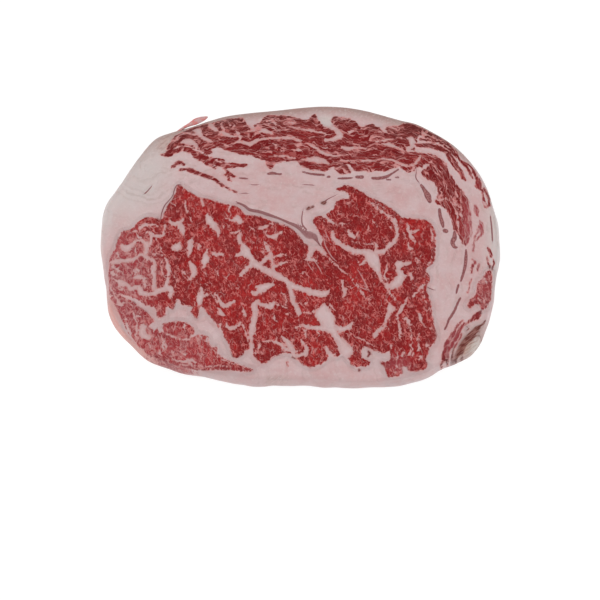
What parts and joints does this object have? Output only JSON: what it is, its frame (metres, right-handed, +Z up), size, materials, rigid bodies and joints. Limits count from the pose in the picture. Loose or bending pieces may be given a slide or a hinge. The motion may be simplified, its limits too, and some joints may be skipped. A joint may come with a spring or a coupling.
{
  "type": "raw ribeye steak",
  "caption": "Raw, boneless, heavily marbled ribeye steak lying flat on a cut face: an oval slice with a central eye, a curved cap muscle, seams of fat and a soft rounded rim.",
  "frame": {"origin": "on the resting face, under the middle of the slice's bounding box", "axes": "+X along the slice's long side, +Y towards the cap muscle, +Z up out of the upper cut face"},
  "size_m": [0.2004, 0.1432, 0.0233],
  "materials": {
    "meat": "moist raw meat, dark red lean marbled with pale fat"
  },
  "bodies": {
    "root": {"steak": "meat"}
  },
  "joints": []
}
